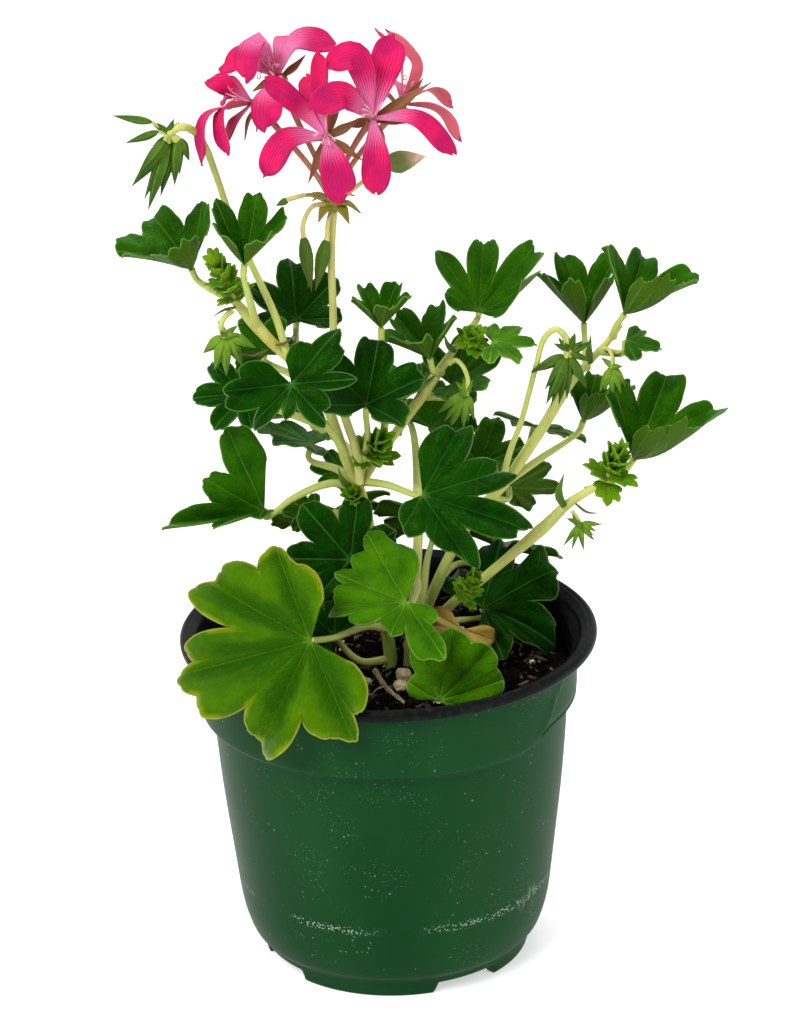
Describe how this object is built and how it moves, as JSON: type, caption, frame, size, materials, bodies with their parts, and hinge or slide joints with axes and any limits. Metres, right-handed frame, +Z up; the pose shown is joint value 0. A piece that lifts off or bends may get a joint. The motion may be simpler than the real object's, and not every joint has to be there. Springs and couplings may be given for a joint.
{
  "type": "potted ivy geranium",
  "caption": "Trailing geranium with lobed leaves, nodding bud clusters and a pink flower head, rooted in a round green nursery pot of soil.",
  "frame": {"origin": "under the middle of the bounding box, on the plane the foot rests on; the pot axis stands 13.4 mm to the left of it and 1.8 mm behind it", "axes": "+Z up, -Y the front that the picture shows, +X to the right of that view"},
  "size_m": [0.161, 0.1176, 0.2643],
  "materials": {
    "pot_plastic": "dark green thermoformed plastic, satin, dusty",
    "soil": "damp dark peat with bark crumbs",
    "mineral_chip": "cream expanded mineral chip, rough",
    "twig": "dry twig",
    "stem": "pale yellow-green fleshy stem",
    "leaf": "thick green leaf, half gloss, pale thin margin",
    "leaf_bright": "young bright green leaf",
    "leaf_aged": "ageing leaf, yellow-green with yellow margin",
    "leaf_dying": "withered leaf, tan",
    "bud": "green downy buds",
    "flower_stalk": "pale green stalk, red-brown thin stalks and sepals",
    "petal": "satin magenta pink petal, paler at its base"
  },
  "bodies": {
    "root": {"pot": "pot_plastic", "mineral_chip_1": "mineral_chip", "mineral_chip_2": "mineral_chip", "mineral_chip_3": "mineral_chip", "mineral_chip_4": "mineral_chip", "dry_twig": "twig", "soil": "soil", "stem_left": "stem", "stem_centre": "stem", "stem_right": "stem", "stem_low_right": "stem", "leaf_top_left": "leaf", "leaf_top_left_inner": "leaf", "leaf_behind_flower_stalk": "leaf", "leaf_left_outer": "leaf", "leaf_left_front": "leaf", "leaf_left_back": "leaf", "leaf_left_flat": "leaf", "leaf_folded": "leaf", "leaf_centre_cup": "leaf", "leaf_centre_funnel": "leaf", "leaf_centre_shoot": "leaf", "leaf_centre_top": "leaf", "small_leaf_shoot": "leaf_bright", "leaf_centre_right": "leaf", "leaf_centre_dark": "leaf", "leaf_right_funnel": "leaf", "leaf_right_top": "leaf", "small_leaf_right": "leaf", "leaf_right_middle": "leaf", "leaf_right_end": "leaf", "leaf_right_back": "leaf", "leaf_right_upright": "leaf", "leaf_inside_rim": "leaf", "leaf_dying": "leaf_dying", "leaf_front": "leaf_bright", "leaf_at_lip": "leaf_bright", "leaf_big_dark": "leaf", "leaf_low_dark": "leaf", "leaf_over_rim": "leaf_aged", "leaf_middle_front": "leaf", "leaf_back_left": "leaf", "leaf_back_centre": "leaf", "leaf_back_right": "leaf", "leaf_back_low_left": "leaf", "leaf_back_low_centre": "leaf", "leaf_back_low_right": "leaf", "bud_cluster_top_left": "bud", "bud_cluster_left": "bud", "bud_cluster_centre": "bud", "bud_cluster_right": "bud", "bud_cluster_far_right": "bud", "bud_cluster_low_right": "bud", "flower_head_stalks": "flower_stalk", "floret_middle": "petal", "floret_right": "petal", "floret_back": "petal", "floret_top_left": "petal", "floret_left": "petal"}
  },
  "joints": []
}
